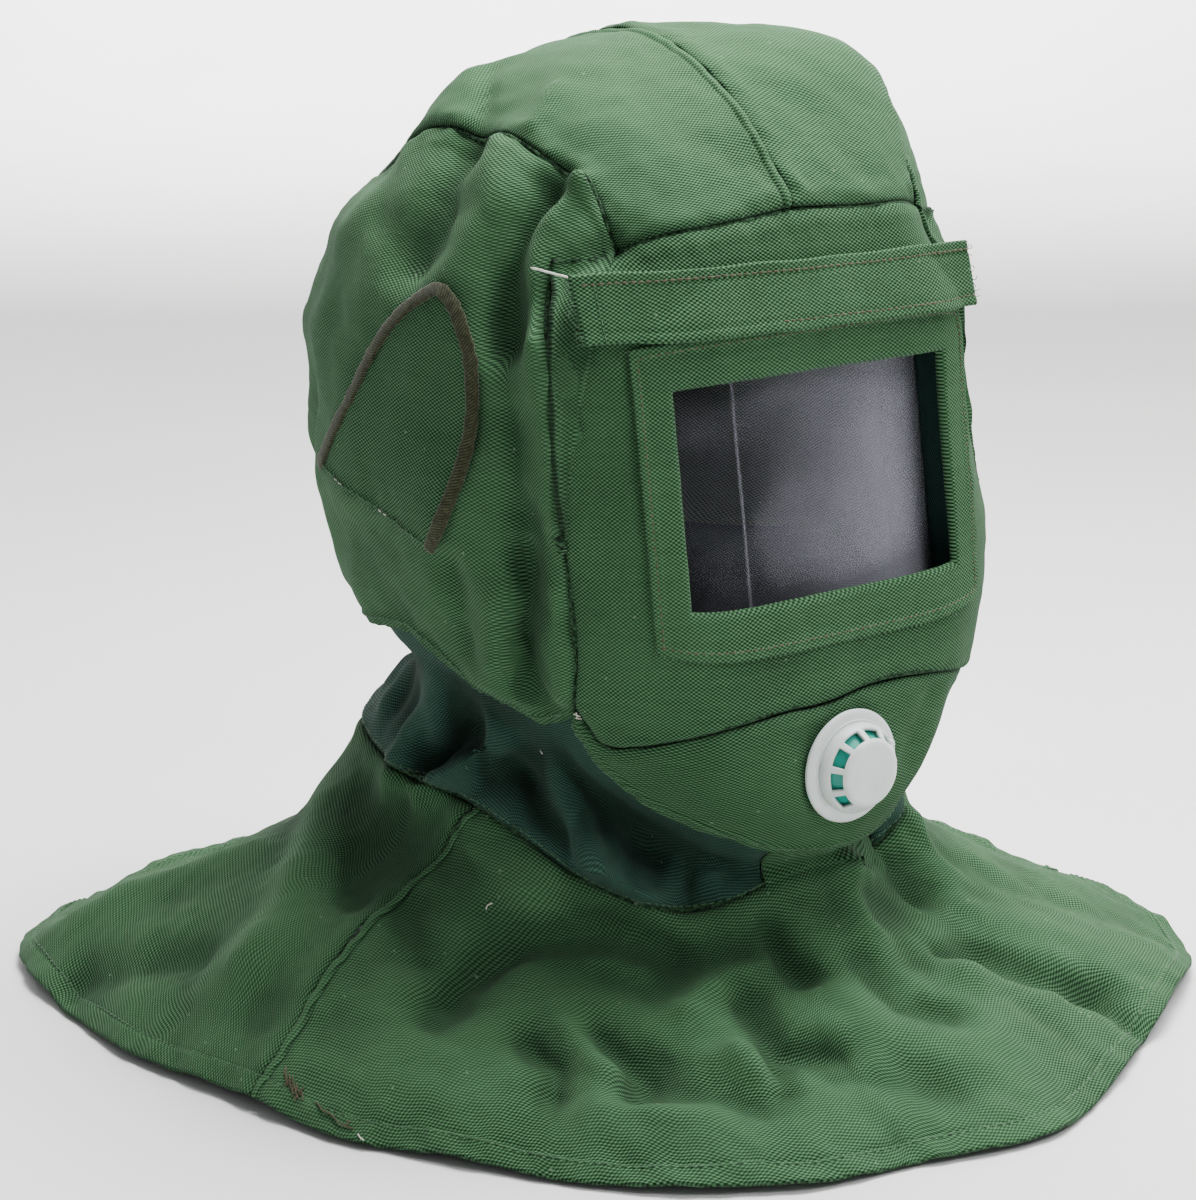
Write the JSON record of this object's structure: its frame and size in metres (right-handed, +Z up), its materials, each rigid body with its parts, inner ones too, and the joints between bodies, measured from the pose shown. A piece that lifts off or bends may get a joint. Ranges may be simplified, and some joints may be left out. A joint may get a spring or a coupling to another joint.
{
  "type": "sandblasting hood",
  "caption": "Canvas sandblasting hood with a clear bent window, an exhale valve at the chin, ear flaps and a shoulder cape.",
  "frame": {"origin": "where the top of a head meets the underside of the crown, over the middle of the hood", "axes": "-Y out through the window, +X to the wearer's left, +Z up"},
  "size_m": [0.479, 0.5067, 0.4265],
  "materials": {
    "canvas": "heavy matt green canvas",
    "collar_cloth": "darker, finer green cloth",
    "holder_cloth": "dark green cloth in shade",
    "braid": "brown woven binding",
    "clear_sheet": "thin clear flexible sheet",
    "white_plastic": "milky white moulded plastic",
    "teal_plastic": "teal moulded plastic"
  },
  "bodies": {
    "root": {"crown_right": "canvas", "crown_left": "canvas", "side_right": "canvas", "side_left": "canvas", "face_panel": "canvas", "chin_panel": "canvas", "lens_frame": "canvas", "brow_strip": "canvas", "lens": "clear_sheet", "lens_holder": "holder_cloth", "valve_flange": "white_plastic", "valve_cap": "white_plastic", "valve_diaphragm": "teal_plastic", "collar": "collar_cloth", "cape_front": "canvas", "cape_back": "canvas", "ear_flap_right": "canvas", "ear_flap_left": "canvas", "ear_binding_right": "braid", "ear_binding_left": "braid"}
  },
  "joints": []
}
